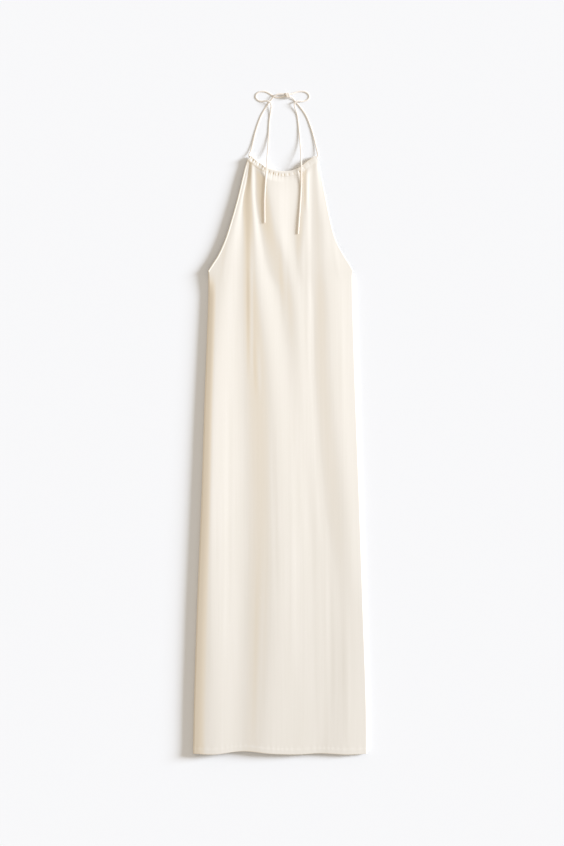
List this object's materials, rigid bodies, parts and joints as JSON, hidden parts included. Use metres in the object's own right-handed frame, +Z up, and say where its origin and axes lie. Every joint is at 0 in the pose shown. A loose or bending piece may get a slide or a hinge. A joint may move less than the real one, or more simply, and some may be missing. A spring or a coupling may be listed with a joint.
{
  "type": "halter dress",
  "caption": "Long halter dress in ivory satin, laid flat, with a gathered casing at the neck, thin ties in a bow, bound armholes and a straight skirt with a turned hem.",
  "frame": {"origin": "middle of the garment without its free ties, on the surface that it lies on", "axes": "+X to the wearer's left as the dress lies on its back, +Y along the dress towards the neck, +Z up from the surface"},
  "size_m": [0.4008, 1.526, 0.0128],
  "materials": {
    "satin": "ivory satin weave, soft sheen",
    "binding": "the same satin cut on the bias",
    "tie": "rolled tube of the same satin"
  },
  "bodies": {
    "root": {"front_panel": "satin", "back_panel": "satin", "neck_casing": "satin", "armhole_binding_left": "binding", "armhole_binding_right": "binding", "tie_in_casing": "tie", "tie_left": "tie", "tie_right": "tie", "bow_knot": "tie"}
  },
  "joints": []
}
